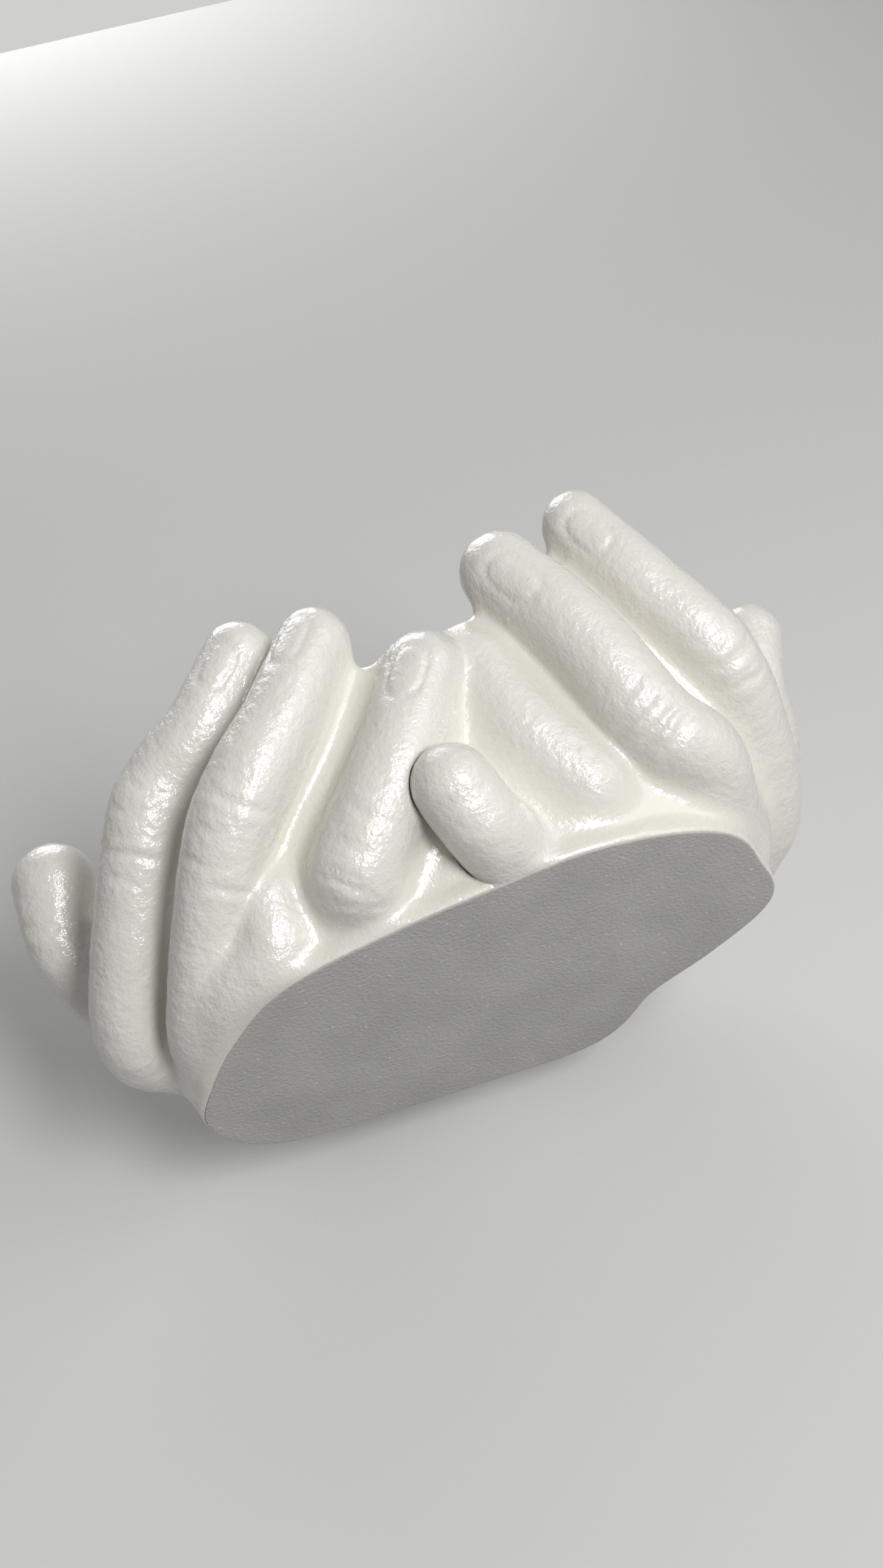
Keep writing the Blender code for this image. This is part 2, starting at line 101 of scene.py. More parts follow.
# Seam between the hands, in the same shares, up the right side of the left ring finger, and the y
# values between which it comes in from the middle plane
SEAM_LINE = ((0.06, -0.18), (0.06, 0.09), (0.03, 0.25), (0.01, 0.36), (0.042, 0.46), (0.08, 0.57),
             (0.105, 0.68), (0.10, 0.77), (0.06, 0.88), (0.03, 0.98), (0.03, 1.61))
SEAM_CHANGE = (-7.2 * MM, -23 * MM)

# Fingers and thumbs: which radius each has, and its joints from the root to the tip, as (degrees from
# the front, share of the bowl's height, millimetres out from the bowl's face, swell of the radius)
DIGITS = {
    "left_index": (
        "index", (-116, 0.32, -1.8, 1.15), (-89, 0.27, 4.7, 1.02), (-54, 0.625, 0.9, 1.06),
        (-44.5, 0.755, 0.5, 0.98), (-34.5, 0.83, 0.4, 0.93), (-24.5, 1, 0.7, 0.87)),
    "left_middle": (
        "middle", (-99, 0.13, -1.5, 0.64), (-67.5, 0.14, 2.6, 0.66), (-36, 0.43, 4.1, 0.99),
        (-21.5, 0.67, 2.75, 0.93), (-13.3, 0.88, 1.75, 0.86)),
    "left_knuckle": (
        "knuckle", (-86, 0.13, -3.0, 0.78), (-61.5, 0.145, -0.8, 0.9), (-44, 0.15, -1.2, 0.8),
        (-39, 0.27, -1.0, 0.7)),
    "left_ring": (
        "ring", (-18, 0.29, -5.8, 1.0), (-21, 0.20, 0.7, 1.15), (-9, 0.40, 1.4, 1.05),
        (0.5, 0.68, 0.4, 0.95)),
    "left_little": (
        "little", (-35, 0.14, -14.4, 0.9), (-14, 0.25, -6.5, 0.95), (-8, 0.48, -4.7, 0.9),
        (-5, 0.66, -4.7, 0.85)),
    "left_thumb": (
        "thumb", (-106, 0.57, 0.7, 1.35), (-99, 0.64, 3.0, 1.15), (-91.5, 0.72, 5.0, 0.93),
        (-86, 0.90, 3.1, 1.13)),
    "right_index": (
        "index", (107.5, 0.32, 1.4, 1.15), (87, 0.38, -0.6, 1.15), (52, 0.56, 3.2, 1.08),
        (40, 0.82, 2.9, 1.05), (32, 1.125, 3.5, 0.93)),
    "right_middle": (
        "middle", (73, 0.21, -6.5, 1.1), (44, 0.23, 1.1, 1.02), (33, 0.32, 3.2, 1.02),
        (23.5, 0.62, 4.0, 0.98), (16, 0.93, 2.8, 0.99)),
    "right_ring": (
        "ring", (22.3, 0.24, -1.9, 0.95), (13.8, 0.44, -1.6, 0.92), (8.7, 0.69, -2.3, 0.88)),
    "right_thumb": (
        "thumb", (112, 0.52, 0.4, 1.35), (97, 0.64, 1.1, 1.2), (81, 0.77, 0.6, 0.95),
        (78.7, 0.94, 2.95, 0.96)),
}
CROSSING_FINGER = ("little", (11.5, 0.03, -5.6, 1.1), (7, 0.115, -2.3, 1.1), (3, 0.16, 3.4, 1.06),
                   (-0.4, 0.25, 5.8, 1.02))

# Palm pads and wrists of the right hand, given in the same way. The left hand's mirror them.
PADS = (
    ("thumb_lobe", (107, 0.57, -5, 0.8), (127, 0.54, -6.5, 1.0), (147, 0.52, -7.2, 1.05)),
    ("outer_lobe", (172, 0.29, -17.3, 0.9), (168, 0.43, -10.1, 1.05), (164, 0.50, -6.1, 1.15)),
    ("wrist", (145, 0.48, -10.2, 1.0), (155, 0.45, -3.75, 1.0)),
)
LOBES = [(kind, *((side * around, *rest) for around, *rest in joints))
         for kind, *joints in PADS for side in (-1, 1)]

# Direction out of the backs of the fingers, from which turns round a finger are counted
FRONT = np.array((0.12, -0.86, -0.50))

# Nails: (millimetres from the finger's root, degrees round it, half length and half width in mm)
NAILS = {
    "left_index": (63.8, -23, 3.0, 2.0),
    "left_middle": (61.4, -44, 3.7, 2.1),
    "left_ring": (31.3, -33, 3.6, 2.4),
    "right_index": (57.8, -24, 3.5, 2.3),
    "right_middle": (50.0, -24, 3.9, 2.4),
}

# Creases over the knuckles: (millimetres from the finger's root, degrees round it, half spread in
# degrees, bow in mm at the ends, depth in mm)
CREASES = {
    "left_index": ((46.0, -12, 46, 1.2, 0.17), (43.4, -38, 36, 0.6, 0.12), (39.3, -18, 58, -1.1, 0.20),
                   (35.8, -32, 44, -1.4, 0.14), (12.0, -20, 40, 0.8, 0.08)),
    "left_middle": ((40.7, 0, 56, 1.0, 0.18), (37.2, -28, 38, 0.5, 0.10), (33.4, -40, 36, -0.8, 0.14),
                    (31.3, 22, 52, -1.0, 0.18)),
    "left_ring": ((13.1, -12, 50, 0.8, 0.15), (9.6, -22, 42, -0.5, 0.09), (6.6, -18, 52, -1.2, 0.17)),
    "left_thumb": ((13.8, -24, 52, 0.7, 0.17), (12.1, -44, 40, 0.5, 0.13)),
    "crossing": ((18.0, -60, 40, 0.6, 0.13), (14.6, -34, 40, 0.4, 0.09)),
    "right_index": ((37.6, -10, 42, 0.7, 0.10), (34.9, -5, 52, 0.9, 0.15), (32.4, -5, 46, -0.9, 0.13)),
    "right_middle": ((30.3, -30, 46, 0.8, 0.14), (28.2, -27, 52, 0.6, 0.18), (26.1, -20, 52, -0.5, 0.18),
                     (23.8, -16, 50, -0.9, 0.13)),
}

# Lump sizes of the unevenness: of the cast, of the plaster's grain, and of the creases' waver
LUMP_SIZE = 4.5 * MM
GRAIN_SIZES = (1.9 * MM, 1.0 * MM)
WAVER_SIZE = 2.2 * MM

# How far the blended skin stands over the bare limbs where enamel begins to pool and where it is
# full, and how much of the grain it then hides
POOL_RISE = (0.06 * MM, 0.5 * MM)
POOL_SMOOTHING = 0.75

# How far from the body's surface the relief has ended, and how near it is full, and the heights over
# the ground between which it comes in
RELIEF_BAND = (0.35 * MM, 0.1 * MM)
RELIEF_HEIGHTS = (0.1 * MM, 0.8 * MM)

# Lighter band at the underside's left edge, partly enamel dragged thinly over it and partly painted light
# bounced from the desk: the angle of its middle, the cosines of the angles from there between which it
# comes in, how much it covers, and the shares of the way out where it comes in
PAINTED_LIGHT_SMEAR_MIDDLE = radians(-118)
PAINTED_LIGHT_SMEAR_REACH = (0.3, 0.9)
PAINTED_LIGHT_SMEAR_COVER = 0.8
PAINTED_LIGHT_SMEAR_SHARES = (0.9, 0.98)

# Steps of the centre lines between joints, and of the outline of the underside
LIMB_STEPS = 9
OUTLINE_STEPS = 256

# Points that a field is worked out for at a time, passes of each search for a surface, the least
# steepness taken in it, rounds of evening out, and a blend so small that it leaves a sharp valley
BLOCK_POINTS = 60000
PASSES = 4
LEAST_STEEPNESS = 0.05
EVEN_ROUNDS = 3
NO_BLEND = 1e-6

# Edges turned by more than this show as sharp
SHARP_FROM = radians(50)

# The photograph's view: camera place in millimetres, its right, up and back directions, lens
CAMERA_PLACE = (-36.51, -188.83, -113.08)
CAMERA_AXES = ((0.9410, 0.0654, -0.3319), (0.2962, -0.6332, 0.7151), (-0.1634, -0.7712, -0.6152))
CAMERA_FOCUS_PX = 2300
PHOTO_HEIGHT_PX = 2132
SENSOR_MM = 36

# Sheets of the stage: (a point in its middle in millimetres, direction it faces, half its side)
FLOOR_SHEET = ((0.0, 0.0, -0.05), (0, 0, 1), 1.2)
DESK_SHEET = ((-2.5, 33.2, 18), (0, -0.98, 0.20), 0.6)

# Lamps: (name, direction from the dish, distance, size across and up, watts), and the even light
LAMPS = (
    ("key_lamp", (0.24, -0.82, -0.51), 0.5, (0.13, 0.26), 1.7),
    ("side_lamp", (0.61, -0.74, -0.21), 0.7, (0.6, 0.6), 1.2),
    ("top_lamp", (-0.05, -0.12, 1), 0.7, (0.5, 0.5), 2.0),
    ("back_lamp", (0.4, 0.9, 0.6), 0.7, (0.6, 0.6), 1.1),
)
EVEN_LIGHT = 0.23


def linear(hex_colour):
    """Scene-linear red, green and blue of an sRGB hex colour."""
    shares = [int(hex_colour[start:start + 2], 16) / 255 for start in (0, 2, 4)]
    return tuple(share / 12.92 if share <= 0.04045 else ((share + 0.055) / 1.055) ** 2.4
                 for share in shares)


def length(name, description, default):
    """A size in metres."""
    return bpy.props.FloatProperty(name=name, description=description, default=default, min=0.0,
                                   unit="LENGTH", precision=5)


def colour(name, description, hex_colour):
    """A surface colour."""
    return bpy.props.FloatVectorProperty(name=name, description=description, default=linear(hex_colour),
                                         min=0.0, max=1.0, subtype="COLOR")


class CuppedHandsSizes(bpy.types.PropertyGroup):
    """Sizes of the cast."""

    foot_length: length("Foot length", "Length of the even oval behind the foot's outline", 80 * MM)
    foot_depth: length("Foot depth", "Depth of the even oval behind the foot's outline", 47.5 * MM)
    foot_thickness: length("Foot thickness", "Height at which the bowl starts to flare", FOOT_TOP)
    rim_length: length("Rim length", "Length of the bowl's oval at the rim", 99.5 * MM)
    rim_depth: length("Rim depth", "Depth of the bowl's oval at the rim", 67 * MM)
    bowl_height: length("Bowl height", "Height that the rim's and fingers' shares refer to", 40.3 * MM)
    bowl_wall: length("Wall", "Thickness of the bowl's wall", 2.9 * MM)
    bowl_floor: length("Floor", "Thickness of the bowl's floor above the foot", 3.6 * MM)
    hollow_round: length("Hollow round", "Height over which the hollow's floor rounds up", 20.2 * MM)
    index: length("Index finger radius", "Radius at the first phalanx", 4.9 * MM)
    middle: length("Middle finger radius", "Radius at the first phalanx", 5.4 * MM)
    ring: length("Ring finger radius", "Radius at the first phalanx", 5.2 * MM)
    little: length("Little finger radius", "Radius at the first phalanx", 4.9 * MM)
    thumb: length("Thumb radius", "Radius at the first phalanx", 5.1 * MM)
    knuckle: length("Knuckle radius", "Radius of the mound beside the left middle finger", 6.4 * MM)
    thumb_lobe: length("Thumb pad radius", "Radius of the pad below each thumb", 10.0 * MM)
    outer_lobe: length("Outer pad radius", "Radius of the pad below each little finger", 8.5 * MM)
    wrist: length("Wrist radius", "Radius of each wrist", 12.1 * MM)
    valley: length("Valley blend", "Reach of the blend between neighbouring fingers", 1.5 * MM)
    web: length("Web blend", "Reach of the blend between the fingers and the wall", 3.4 * MM)
    flesh: length("Flesh blend", "Reach of the blend between the palm pads and the wall", 6.0 * MM)
    seam_crease: length("Seam crease", "Reach of the rounding where the two hands meet", 0.1 * MM)
    finger_crease: length("Finger crease", "Reach of the blend at the crossing finger's root", 0.9 * MM)
    lump: length("Lumps", "Height of the slow unevenness of the cast", 0.10 * MM)
    grain: length("Grain", "Height of the plaster's grain under the enamel", 0.05 * MM)
    skin_grid: length("Skin grid", "Spacing of the grid from which the skin is made", 0.5 * MM)


class CuppedHandsColours(bpy.types.PropertyGroup):
    """Colours of the cast and of the stage."""

    ridge: colour("Enamel on the ridges", "Thin white gloss enamel over plaster", "DAD7D0")
    pooled: colour("Pooled enamel", "Thick enamel in the webs and valleys, slightly cream", "DBD9CF")
    cast: colour("Bare cast", "Unpainted plaster of the underside", "B5B4B1")
    speck: colour("Speck", "Pale grains in the bare cast", "D2D1CD")
    # Painted light in part: a slightly lighter tone for the underside's left edge, standing for enamel
    # dragged over it and for light bounced from the desk
    smear_and_painted_light: colour("Enamel smear", "Enamel dragged thinly over the edge of the underside", "BAB8B2")
    floor: colour("Floor", "Plain floor and the surface under the cast", "CFCFCD")


def catmull(before, start, end, after, share):
    """Catmull-Rom value between start and end: the cubic that passes through both with the slopes
    of their neighbours."""
    return 0.5 * (2 * start + (end - before) * share
                  + (2 * before - 5 * start + 4 * end - after) * share ** 2
                  + (3 * start - before - 3 * end + after) * share ** 3)


def smooth_run(rows):
    """Catmull-Rom curve through rows of values, in equal steps from each row to the next."""
    rows = np.asarray(rows, dtype=float)
    padded = np.vstack([2 * rows[0] - rows[1], rows, 2 * rows[-1] - rows[-2]])
    share = np.linspace(0, 1, LIMB_STEPS, endpoint=False)[None, :, None]
    near = [padded[first:first + len(rows) - 1, None, :] for first in range(4)]
    return np.vstack([catmull(*near, share).reshape(-1, rows.shape[1]), rows[-1]])


def smoothstep(low, high, values):
    """0 below low, 1 above high, and 3t^2 - 2t^3 between them."""
    share = np.clip((values - low) / (high - low), 0, 1)
    return share * share * (3 - 2 * share)


def foot_fullness(around):
    """How far the foot's outline lies from its even oval at an angle: a closed Catmull-Rom curve."""
    place = np.mod(around, 2 * pi) / (2 * pi) * len(FOOT_FULLNESS)
    first = np.floor(place).astype(int)
    near = [FOOT_FULLNESS[(first + step) % len(FOOT_FULLNESS)] for step in (-1, 0, 1, 2)]
    return catmull(*near, place - first)


def bowl_section(sizes, around, height):
    """Centre and half axes of the bowl's outer face at an angle and a height. They go from the
    foot's outline to the rim's oval by the sine of a quarter turn over the height."""
    rise = np.clip((height - sizes.foot_thickness) / (sizes.bowl_height - sizes.foot_thickness), 0, 1)
    flare = np.sin(pi / 2 * rise)
    fullness = foot_fullness(around)
    half_x = (1 - flare) * fullness * sizes.foot_length / 2 + flare * sizes.rim_length / 2
    half_y = (1 - flare) * fullness * sizes.foot_depth / 2 + flare * sizes.rim_depth / 2
    centre_x = (1 - flare) * FOOT_CENTRE[0] + flare * RIM_CENTRE[0]
    centre_y = (1 - flare) * FOOT_CENTRE[1] + flare * RIM_CENTRE[1]
    return centre_x, centre_y, half_x, half_y


def on_bowl(sizes, around, height, stand_off):
    """Point at an angle and a height on the bowl's face, moved straight out from it."""
    step = radians(2)
    turn = np.array([around - step, around, around + step])
    centre_x, centre_y, half_x, half_y = bowl_section(sizes, turn, np.full(3, height))
    x = centre_x + half_x * np.sin(turn)
    y = centre_y - half_y * np.cos(turn)
    run = np.array([x[2] - x[0], y[2] - y[0]])
    outward = np.array([run[1], -run[0]]) / np.hypot(*run)
    return np.array([x[1] + outward[0] * stand_off, y[1] + outward[1] * stand_off, height])


def limb_line(sizes, limb):
    """Points and radii along a limb: a smooth curve through its joints, in columns x, y, z, radius."""
    kind, *joints = limb
    return smooth_run([(*on_bowl(sizes, radians(around), rise * sizes.bowl_height, off * MM),
                        getattr(sizes, kind) * swell) for around, rise, off, swell in joints])


def limb_distance(points, line):
    """Signed distance to a limb, its direction, and the place along the line in joints.

    For each stretch of the line, the nearest point of the stretch is found and its radius taken
    off the distance. The least over the stretches is kept.
    """
    value = np.full(len(points), 1.0)
    slope = np.zeros_like(points)
    along = np.zeros(len(points))
    for index, (start, end) in enumerate(zip(line, line[1:])):
        stretch = end[:3] - start[:3]
        share = np.clip((points - start[:3]) @ stretch / (stretch @ stretch), 0, 1)
        away = points - start[:3] - share[:, None] * stretch
        reach = np.linalg.norm(away, axis=1)
        here = reach - start[3] - share * (end[3] - start[3])
        nearer = here < value
        value[nearer] = here[nearer]
        slope[nearer] = away[nearer] / np.maximum(reach[nearer, None], 1e-9)
        along[nearer] = (index + share[nearer]) / LIMB_STEPS
    return value, slope, along


def join(one, other, blend):
    """Smooth least of two fields: the lesser value, less a quarter of the blend times the square of
    how nearly equal they are. Each field is (value, slope)."""
    gap = one[0] - other[0]
    ease = np.clip(1 - np.abs(gap) / blend, 0, 1)
    value = np.minimum(one[0], other[0]) - ease ** 2 * blend / 4
    share = np.where(gap > 0, 1 - ease / 2, ease / 2)[:, None]
    return value, one[1] * (1 - share) + other[1] * share


def meet(one, other, blend):
    """Smooth greatest of two fields, the mirror of join."""
    value, slope = join((-one[0], -one[1]), (-other[0], -other[1]), blend)
    return -value, -slope


def as_distance(measure, points):
    """A measure made into a length: its value over its steepness, with its direction, both found
    from small steps along the three axes."""
    step = 0.05 * MM
    value = measure(points)
    slope = np.stack([(measure(points + move) - value) / step for move in np.eye(3) * step], axis=1)
    steep = np.linalg.norm(slope, axis=1)
    return value / steep, slope / steep[:, None]


def bowl_share(sizes, points, grow):
    """How far out a point lies in the bowl's section at its height, 1 on the face grown by a
    length. The angle depends on the half axes and they on the angle, so it is found in passes."""
    x, y, z = points.T
    around = np.zeros(len(points))
    for _ in range(3):
        centre_x, centre_y, half_x, half_y = bowl_section(sizes, around, z)
        across = (x - centre_x) / (half_x + grow)
        back = (y - centre_y) / (half_y + grow)
        around = np.arctan2(across, -back)
    return np.hypot(across, back)


def hollow_share(sizes, points):
    """Root of the square of the share across the hollow and the square of how far a point lies
    below the height where its round floor ends, so 1 on a floor like the bottom of an egg."""
    top = sizes.foot_thickness + sizes.bowl_floor + sizes.hollow_round
    below = np.maximum(top - points[:, 2], 0) / sizes.hollow_round
    return np.hypot(bowl_share(sizes, points, -sizes.bowl_wall), below)


def rim_height(sizes, points):
    """Height of the rim over a point: the front line eased into the back line across the middle."""
    front = smooth_run(FRONT_RIM)
    back = smooth_run(BACK_RIM)
    share = points[:, 0] / (sizes.rim_length / 2)
    high_front = np.interp(share, front[:, 0], front[:, 1])
    high_back = np.interp(share, back[:, 0], back[:, 1])
    ease = smoothstep(*RIM_CHANGE, points[:, 1])
    return sizes.bowl_height * (high_front + (high_back - high_front) * ease)


def wall_field(sizes, points):
    """Field of the bowl's wall: inside its outer face, outside its hollow and below its rim."""
    skirt = 0.35 * MM
    lip = 2.2 * MM
    outer = as_distance(lambda p: bowl_share(sizes, p, skirt * (p[:, 2] < sizes.bowl_height)) - 1, points)
    hollow = as_distance(lambda p: 1 - hollow_share(sizes, p), points)
    rim = as_distance(lambda p: p[:, 2] - rim_height(sizes, p), points)
    return meet(meet(outer, hollow, lip), rim, lip)


def near_line(points, line, reach):
    """Which points lie in the box round a limb, grown by a reach."""
    grow = line[:, 3:] + reach
    low = (line[:, :3] - grow).min(axis=0)
    high = (line[:, :3] + grow).max(axis=0)
    return np.all((points > low) & (points < high), axis=1)


def limbs_field(points, lines, blend, reach):
    """Field of several limbs blended with one another, 1 m away from them all."""
    value = np.full(len(points), 1.0)
    slope = np.zeros_like(points)
    for line in lines:
        near = near_line(points, line, reach)
        here, direction, _ = limb_distance(points[near], line)
        value[near], slope[near] = join((value[near], slope[near]), (here, direction), blend)
    return value, slope


def seam_distance(sizes, points):
    """Distance to the right of the seam, which follows the finger valley in front and eases to the
    middle plane behind."""
    line = smooth_run(SEAM_LINE)

    def across(p):
        valley = np.interp(p[:, 2] / sizes.bowl_height, line[:, 1], line[:, 0]) * sizes.rim_length / 2
        return p[:, 0] - smoothstep(*SEAM_CHANGE, p[:, 1]) * valley

    return as_distance(across, points)


def in_blocks(field, points):
    """A field at some points, worked out a block of them at a time."""
    blocks = np.array_split(points, len(points) // BLOCK_POINTS + 1)
    fields = [field(block) for block in blocks]
    return np.concatenate([value for value, _ in fields]), np.vstack([slope for _, slope in fields])


class Cast:
    """The blended field of both hands, with the lines of its limbs worked out once."""

    def __init__(self, sizes):
        self.sizes = sizes
        self.digits = {name: limb_line(sizes, limb) for name, limb in DIGITS.items()}
        self.lobes = [limb_line(sizes, limb) for limb in LOBES]
        self.crossing = limb_line(sizes, CROSSING_FINGER)
        self.reach = sizes.flesh + 1 * MM

    def body(self, points):
        """Field of both hands together: digits with crisp valleys, flesh and wall with soft ones."""
        sizes = self.sizes
        flesh = join(wall_field(sizes, points), limbs_field(points, self.lobes, sizes.flesh, self.reach),
                     sizes.flesh)
        digits = limbs_field(points, self.digits.values(), sizes.valley, self.reach)
        return join(flesh, digits, sizes.web)

    def own_side(self, side, points):
        """Field of one hand's side of the seam, with a small lap past it."""
        lap = 0.03 * MM
        seam, direction = seam_distance(self.sizes, points)
        return -side * seam - lap, -side * direction

    def hand(self, side, points):
        """Field of one hand, side -1 left or +1 right: the body on its side of the seam, with the
        crossing finger joined to the right hand and kept clear of the left."""
        clearance = 0.06 * MM
        ground = 0.04 * MM
        edge_round = 0.9 * MM
        value, slope = meet(self.body(points), self.own_side(side, points), self.sizes.seam_crease)
        near = near_line(points, self.crossing, self.reach)
        finger, finger_slope, _ = limb_distance(points[near], self.crossing)
        here = (value[near], slope[near])
        if side > 0:
            value[near], slope[near] = join(here, (finger, finger_slope), self.sizes.finger_crease)
        else:
            room = (clearance - finger, -finger_slope)
            value[near], slope[near] = meet(here, room, self.sizes.finger_crease / 2)
        below = (ground - points[:, 2], np.tile((0.0, 0.0, -1.0), (len(points), 1)))
        return meet((value, slope), below, edge_round)


def crossed_cells(values):
    """Index of each grid cell that a level crosses, in order, and -1 for the others."""
    inside = values < 0
    corners = [inside[i:inside.shape[0] - 1 + i, j:inside.shape[1] - 1 + j, k:inside.shape[2] - 1 + k]
               for i, j, k in np.ndindex(2, 2, 2)]
    count = np.sum(corners, axis=0, dtype=np.int8)
    crossed = (count > 0) & (count < len(corners))
    index = np.full(crossed.shape, -1, dtype=np.int64)
    index[crossed] = np.arange(crossed.sum())
    return crossed, index


def crossing_quads(values, index):
    """Quads of a level surface: one about each grid line that changes sign, through the four cells
    round that line, wound to face out of the negative side."""
    inside = values < 0
    quads = []
    for axis in range(3):
        first, second = [other for other in range(3) if other != axis]
        flags = np.moveaxis(inside, (axis, first, second), (0, 1, 2))
        cells = np.moveaxis(index, (axis, first, second), (0, 1, 2))
        start = flags[:-1, 1:-1, 1:-1]
        end = flags[1:, 1:-1, 1:-1]
        around = np.stack([cells[:, :-1, :-1], cells[:, 1:, :-1], cells[:, 1:, 1:], cells[:, :-1, 1:]],
                          axis=-1)
        outward = start if axis != 1 else end
        inward = end if axis != 1 else start
        quads.append(around[outward & ~inward])
        quads.append(around[inward & ~outward][:, ::-1])
    return np.vstack(quads)


def level_surface(field, low, high, step):
    """Points and quads of the surface where a field is zero.

    The field is worked out on a coarse grid first, and finely only near the surface. Each crossed
    cell gets one point, which is then slid down the field's slope on to the surface.
    """
    coarse = 3
    band_width = 1.25 * coarse * step
    counts = np.ceil((high - low) / (step * coarse)).astype(int) + 1
    axes = [low[a] + np.arange(counts[a]) * step * coarse for a in range(3)]
    rough_points = np.stack(np.meshgrid(*axes, indexing="ij"), axis=-1).reshape(-1, 3)
    rough = field(rough_points)[0].reshape(counts)
    fine = rough
    for axis in range(3):
        fine = np.repeat(fine, coarse, axis=axis)
    band = np.abs(fine) < band_width
    places = np.argwhere(band)
    values = np.where(fine < 0, -1.0, 1.0)
    values[band] = field(low + places * step)[0]
    crossed, index = crossed_cells(values)
    points = low + (np.argwhere(crossed) + 0.5) * step
    quads = crossing_quads(values, index)
    return slide(field, points, step), quads


def slide(field, points, step):
    """Points moved on to a field's zero level: against the slope, by the value over its steepness."""
    for _ in range(PASSES):
        value, slope = field(points)
        steep = np.maximum((slope ** 2).sum(axis=1), LEAST_STEEPNESS)
        move = np.clip(value / steep, -step, step)
        points = points - slope * move[:, None]
    return points


def quad_sides(quads):
    """Pairs of points at the ends of each quad's sides."""
    return np.vstack([quads[:, [0, 1]], quads[:, [1, 2]], quads[:, [2, 3]], quads[:, [3, 0]]])


def even_out(field, points, quads, step):
    """Points spread evenly over the surface: each moves halfway to the mean of its neighbours and
    then back on to the field's zero level."""
    ends = quad_sides(quads)
    first, second = ends.T
    count = np.bincount(first, minlength=len(points)) + np.bincount(second, minlength=len(points))
    for _ in range(EVEN_ROUNDS):
        total = np.stack([np.bincount(first, points[second, a], len(points))
                          + np.bincount(second, points[first, a], len(points)) for a in range(3)], axis=1)
        mean = total / np.maximum(count, 1)[:, None]
        points = slide(field, (points + mean) / 2, step)
    return points


def near_edge(one, other, quads, step):
    """Which points belong on the edge where two faces meet, from each point's values of their two
    fields: those close to it, and the nearer end of each side that runs across it from face to face."""
    close = 0.5 * step
    far = 1.2 * step
    off = np.hypot(one, other)
    edge = off < close
    on_one = np.abs(one) < np.abs(other)
    ends = quad_sides(quads)
    across = ends[(on_one[ends[:, 0]] != on_one[ends[:, 1]]) & ~edge[ends].any(axis=1)]
    nearer = np.where(off[across[:, 0]] < off[across[:, 1]], across[:, 0], across[:, 1])
    edge[nearer] = True
    return edge & (off < far)


def split_quads(quads, edge):
    """Triangles of quads, cut along the diagonal that has both its ends on the edge, if one has."""
    turned = edge[quads[:, 1]] & edge[quads[:, 3]]
    quads = np.where(turned[:, None], np.roll(quads, 1, axis=1), quads)
    return np.vstack([quads[:, [0, 1, 2]], quads[:, [0, 2, 3]]])


def on_edge(one, other, points):
    """Points moved to where two fields are both zero, each time by the least move that would do it
    if both were flat."""
    for _ in range(PASSES):
        a, slope_a = one(points)
        b, slope_b = other(points)
        aa = (slope_a ** 2).sum(axis=1)
        bb = (slope_b ** 2).sum(axis=1)
        ab = (slope_a * slope_b).sum(axis=1)
        whole = np.maximum(aa * bb - ab ** 2, LEAST_STEEPNESS)
        points = (points + slope_a * ((b * ab - a * bb) / whole)[:, None]
                  + slope_b * ((a * ab - b * aa) / whole)[:, None])
    return points


def lattice_values(cells, seed):
    """A fixed pseudo-random value from -1 to 1 for each whole-number cell."""
    mixed = cells.astype(np.int64) * np.array([73856093, 19349663, 83492791])
    key = (mixed[..., 0] ^ mixed[..., 1] ^ mixed[..., 2]) + seed * 2654435761
    key = (key ^ (key >> 13)) * 1274126177 & 0x7FFFFFFF
    key = (key ^ (key >> 16)) & 0xFFFF
    return key / 32767.5 - 1


def unevenness(points, size, seed):
    """Smooth noise with lumps of a size: lattice values eased from cell to cell."""
    place = points / size
    cell = np.floor(place).astype(np.int64)
    share = smoothstep(0, 1, place - cell)
    total = np.zeros(len(points))
    for corner in np.ndindex(2, 2, 2):
        weight = np.prod(np.where(corner, share, 1 - share), axis=1)
        total += weight * lattice_values(cell + np.array(corner), seed)
    return total


def limb_place(points, line):
    """Where points lie on a limb: height over its surface, length from its root out past its rounded
    end, turn round it from the front, and its radius there."""
    value, away, along = limb_distance(points, line)
    steps = np.diff(line[:, :3], axis=0)
    lengths = np.linalg.norm(steps, axis=1)
    place = along * LIMB_STEPS
    axis = (steps / lengths[:, None])[np.minimum(place.astype(int), len(lengths) - 1)]
    radius = np.interp(place, np.arange(len(line)), line[:, 3])
    run = np.interp(place, np.arange(len(line)), np.append(0, np.cumsum(lengths)))
    run += (value + radius) * (away * axis).sum(axis=1)
    out = FRONT - (axis @ FRONT)[:, None] * axis
    out /= np.linalg.norm(out, axis=1)[:, None]
    turn = np.arctan2((away * np.cross(axis, out)).sum(axis=1), (away * out).sum(axis=1))
    return value, run, turn, radius


def nail_relief(nail, run, turn, radius):
    """How much of a nail's plate covers each point, and the height of the plate and of the groove
    round it. The plate's edge is a rounded box, the sum of cubes of its two shares."""
    at, around, half_length, half_width = nail
    plate_rise = 0.07 * MM
    groove_depth = 0.20 * MM
    groove_width = 0.4
    along = np.abs(run / MM - at) / half_length
    across = np.abs(turn - radians(around)) * radius / MM / half_width
    share = np.cbrt(along ** 3 + across ** 3)
    plate = smoothstep(1.0, 0.85, share)
    groove = np.exp(-((share - 1) * half_width / groove_width) ** 2)
    return plate, plate_rise * plate - groove_depth * groove


def crease_relief(crease, points, run, turn):
    """Height of a knuckle crease: a bowed, slightly wavering groove with a soft fold on both sides,
    which fades out round the finger."""
    at, around, spread, bow, depth = crease
    waver = 0.4
    groove_width, fold_at, fold_width, fold_share = 0.45, 1.15, 0.6, 0.45
    share = (turn - radians(around)) / radians(spread)
    off = np.abs(run / MM - at - bow * share ** 2 + waver * unevenness(points, WAVER_SIZE, 7))
    shape = (np.exp(-(off / groove_width) ** 2)
             - fold_share * np.exp(-((off - fold_at) / fold_width) ** 2))
    return -depth * MM * shape * smoothstep(1.0, 0.4, np.abs(share))


